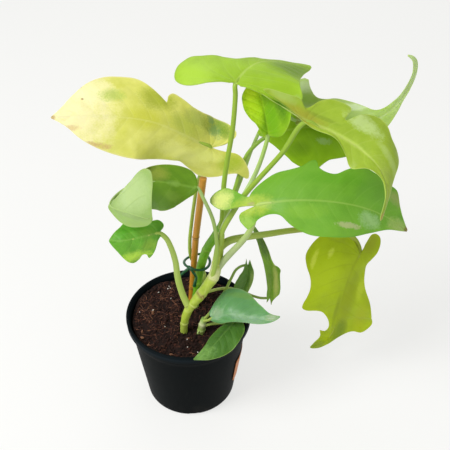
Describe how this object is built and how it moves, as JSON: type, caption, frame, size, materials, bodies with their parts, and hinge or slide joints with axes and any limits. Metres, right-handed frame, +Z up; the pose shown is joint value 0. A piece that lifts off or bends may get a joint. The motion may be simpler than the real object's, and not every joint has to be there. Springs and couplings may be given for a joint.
{
  "type": "potted philodendron plant",
  "caption": "Potted violin philodendron with lobed green, gold and cream leaves on cane-supported stems in a round black nursery pot.",
  "frame": {"origin": "middle of the pot's flat base, on the surface that it stands on", "axes": "+Z up, along the plant's height; +X to the right and +Y away from the viewer of the picture"},
  "size_m": [0.2912, 0.1406, 0.3575],
  "materials": {
    "black_plastic": "matte moulded",
    "coir_soil": "loose damp potting mix",
    "bamboo": "smooth dry bamboo",
    "green_wire": "plastic-covered wire",
    "orange_label": "satin",
    "stem_green": "living green stem",
    "leaf_cream": "waxy living leaf",
    "leaf_rolled": "waxy living leaf",
    "leaf_crumpled": "waxy living leaf",
    "leaf_top": "waxy living leaf",
    "leaf_arched": "waxy living leaf",
    "leaf_front": "waxy living leaf",
    "leaf_hanging": "waxy living leaf",
    "leaf_dark": "waxy living leaf",
    "leaf_upright": "waxy living leaf",
    "leaf_narrow": "waxy living leaf",
    "leaf_small": "waxy living leaf",
    "leaf_bluegreen": "waxy living leaf",
    "leaf_low": "waxy living leaf",
    "leaf_pale": "waxy living leaf"
  },
  "bodies": {
    "root": {"pot": "black_plastic", "soil": "coir_soil", "cane": "bamboo", "tie": "green_wire", "label": "orange_label", "main_stem": "stem_green", "climbing_stem": "stem_green", "young_stem": "stem_green", "leaf_cream": "leaf_cream", "leaf_rolled": "leaf_rolled", "leaf_crumpled": "leaf_crumpled", "leaf_top": "leaf_top", "leaf_arched": "leaf_arched", "leaf_front": "leaf_front", "leaf_hanging": "leaf_hanging", "leaf_dark": "leaf_dark", "leaf_upright": "leaf_upright", "leaf_narrow": "leaf_narrow", "leaf_small": "leaf_small", "leaf_bluegreen": "leaf_bluegreen", "leaf_low": "leaf_low", "leaf_pale": "leaf_pale"}
  },
  "joints": []
}
